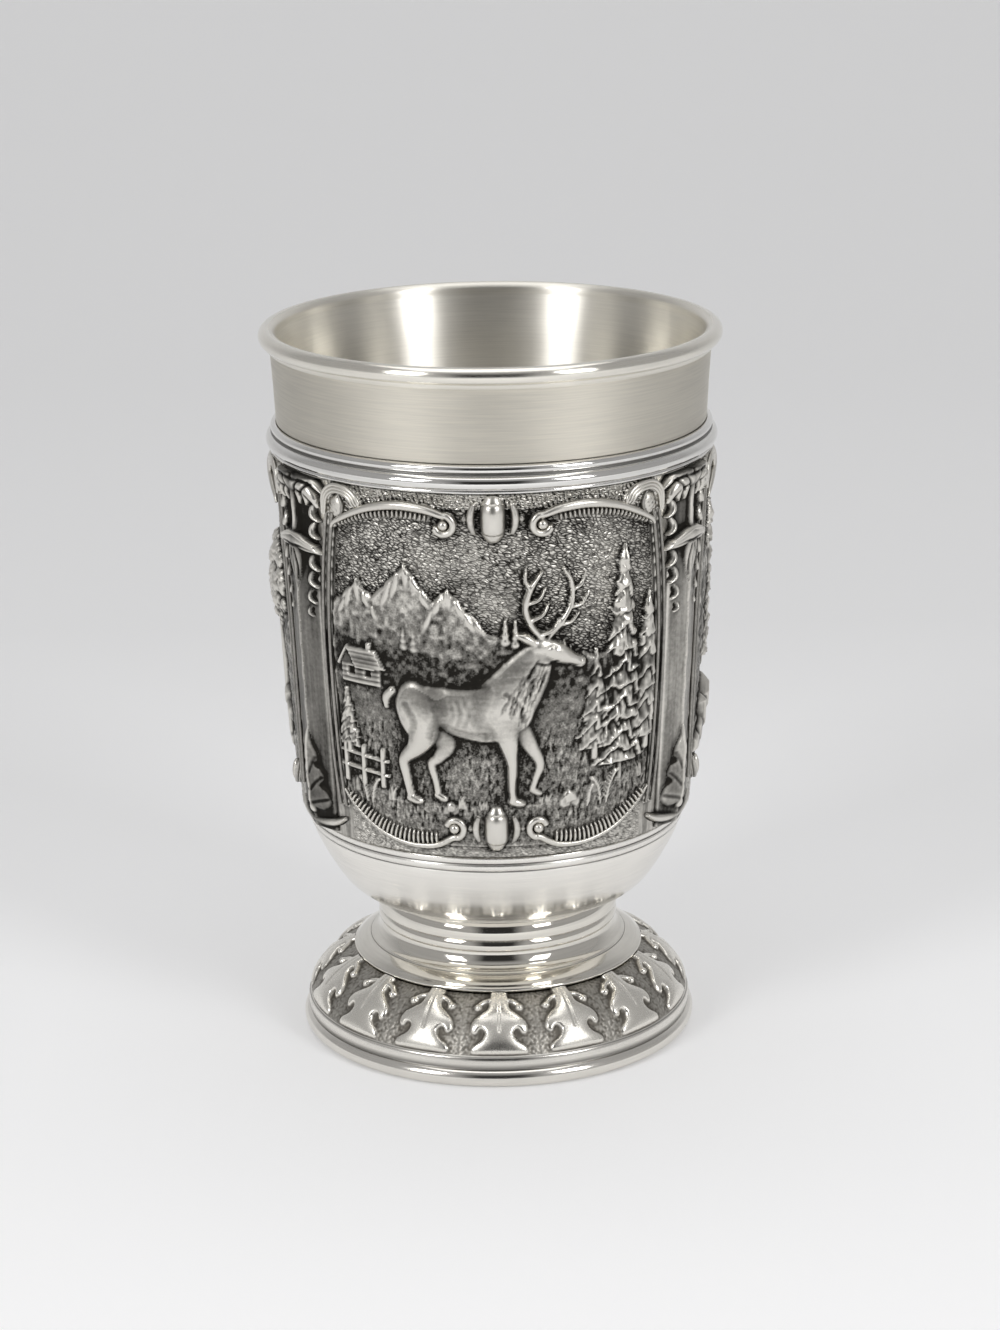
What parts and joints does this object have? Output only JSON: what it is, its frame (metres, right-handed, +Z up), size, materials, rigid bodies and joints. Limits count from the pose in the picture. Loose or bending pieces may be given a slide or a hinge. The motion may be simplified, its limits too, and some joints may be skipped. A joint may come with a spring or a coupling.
{
  "type": "shot cup",
  "caption": "Footed pewter shot cup: turned bowl and flared lip, cast relief jacket with scroll frames and pilasters, stepped stem and a foot with a band of upright leaves.",
  "frame": {"origin": "on the table, at the centre of the foot's contact ring", "axes": "+Z up along the cup's axis towards the rim; the middle of the front relief panel faces -Y, +X is to the right of it"},
  "size_m": [0.0438, 0.0438, 0.07],
  "materials": {
    "bright_pewter": "lathe-turned, satin bright",
    "antique_pewter": "cast, darkened in the hollows and rubbed bright on the high parts",
    "solder": "dull"
  },
  "bodies": {
    "root": {"lip_ring": "bright_pewter", "bead_collar": "bright_pewter", "bowl": "bright_pewter", "relief_panel_front": "antique_pewter", "relief_panel_right": "antique_pewter", "relief_panel_left": "antique_pewter", "pilaster_right": "antique_pewter", "pilaster_back": "antique_pewter", "pilaster_left": "antique_pewter", "stem_collar": "bright_pewter", "solder_fillet": "solder", "foot_ring": "antique_pewter"}
  },
  "joints": []
}
